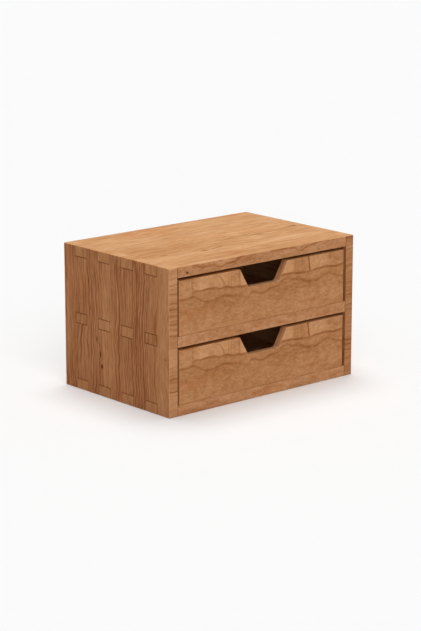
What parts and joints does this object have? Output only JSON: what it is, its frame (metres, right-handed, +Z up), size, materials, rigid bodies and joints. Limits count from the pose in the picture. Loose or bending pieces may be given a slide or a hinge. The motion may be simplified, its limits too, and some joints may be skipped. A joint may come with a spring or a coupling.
{
  "type": "mini drawer cabinet",
  "caption": "Small wooden tabletop chest with stacked pull-out drawers, trapezoid finger notches in the drawer fronts and through tenons showing at the sides.",
  "frame": {"origin": "middle of the footprint, on the surface that the cabinet stands on", "axes": "+X to the right along the width, +Y to the back, +Z up; the drawers open towards -Y"},
  "size_m": [0.3, 0.2, 0.18],
  "materials": {
    "case_sides": "satin oiled cherry, grain upright",
    "case_boards": "satin oiled cherry, grain along the width",
    "drawer_fronts": "satin oiled cherry, flat sawn",
    "drawer_boxes": "satin sealed pale wood",
    "panels": "satin veneered panel"
  },
  "bodies": {
    "case": {"left_side": "case_sides", "right_side": "case_sides", "bottom_board": "case_boards", "middle_shelf": "case_boards", "top_board": "case_boards", "back_panel": "panels"},
    "lower_drawer": {"lower_drawer_front": "drawer_fronts", "lower_drawer_left_side": "drawer_boxes", "lower_drawer_right_side": "drawer_boxes", "lower_drawer_back": "drawer_boxes", "lower_drawer_bottom": "panels"},
    "upper_drawer": {"upper_drawer_front": "drawer_fronts", "upper_drawer_left_side": "drawer_boxes", "upper_drawer_right_side": "drawer_boxes", "upper_drawer_back": "drawer_boxes", "upper_drawer_bottom": "panels"}
  },
  "joints": [
    {"name": "lower_drawer_slide", "type": "slide", "parent": "case", "child": "lower_drawer", "axis": [0, -1, 0], "range_m": [0, 0.14]},
    {"name": "upper_drawer_slide", "type": "slide", "parent": "case", "child": "upper_drawer", "axis": [0, -1, 0], "range_m": [0, 0.14]}
  ]
}
